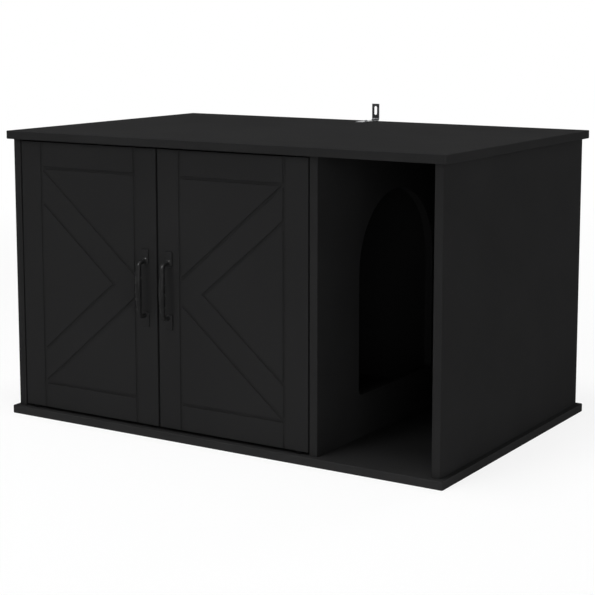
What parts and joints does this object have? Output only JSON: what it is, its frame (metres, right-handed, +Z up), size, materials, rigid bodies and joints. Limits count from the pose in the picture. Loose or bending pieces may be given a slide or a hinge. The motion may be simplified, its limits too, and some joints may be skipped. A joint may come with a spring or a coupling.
{
  "type": "cat house cabinet",
  "caption": "Low black cabinet that hides a litter tray: plank-pattern double doors with bow pulls, an open entry bay, an arched cat doorway in the divider and a wall bracket.",
  "frame": {"origin": "middle of the base board's underside", "axes": "+X to the right seen from the front, along the width; +Y to the back; +Z up"},
  "size_m": [0.9, 0.5979, 0.564],
  "materials": {
    "black_board": "matt black laminated particle board",
    "black_metal": "satin black powder coat",
    "dark_steel": "dark plated",
    "black_oxide_steel": "black oxide",
    "zinc_steel": "zinc plated",
    "cast_zinc": "die cast, dull",
    "beech": "raw fluted beech",
    "nylon": "black nylon",
    "catch_plastic": "black moulded",
    "magnet": "ferrite and steel pole plates"
  },
  "bodies": {
    "cabinet": {"base_panel": "black_board", "top_panel": "black_board", "left_side_panel": "black_board", "divider_panel": "black_board", "right_side_panel": "black_board", "back_panel": "black_board", "back_panel_screws": "zinc_steel", "joint_dowels": "beech", "cam_bolts": "zinc_steel", "cam_locks": "cast_zinc", "left_pivot_pins": "black_oxide_steel", "left_pivot_washer": "nylon", "right_pivot_pins": "black_oxide_steel", "right_pivot_washer": "nylon", "left_catch_housing": "catch_plastic", "left_catch_magnet": "magnet", "right_catch_housing": "catch_plastic", "right_catch_magnet": "magnet", "catch_screws": "black_oxide_steel", "wall_bracket": "dark_steel", "bracket_screw": "dark_steel"},
    "left_door": {"left_door_panel": "black_board", "left_handle": "black_metal", "left_handle_bolts": "zinc_steel", "left_pivot_bushes": "nylon", "left_strike_plate": "zinc_steel", "left_strike_screw": "zinc_steel"},
    "right_door": {"right_door_panel": "black_board", "right_handle": "black_metal", "right_handle_bolts": "zinc_steel", "right_pivot_bushes": "nylon", "right_strike_plate": "zinc_steel", "right_strike_screw": "zinc_steel"}
  },
  "joints": [
    {"name": "left_door_swing", "type": "hinge", "parent": "cabinet", "child": "left_door", "pos_m": [-0.402, -0.2725, 0], "axis": [0, 0, -1], "range_deg": [0, 135]},
    {"name": "right_door_swing", "type": "hinge", "parent": "cabinet", "child": "right_door", "pos_m": [0.175, -0.2725, 0], "axis": [0, 0, 1], "range_deg": [0, 135]}
  ]
}
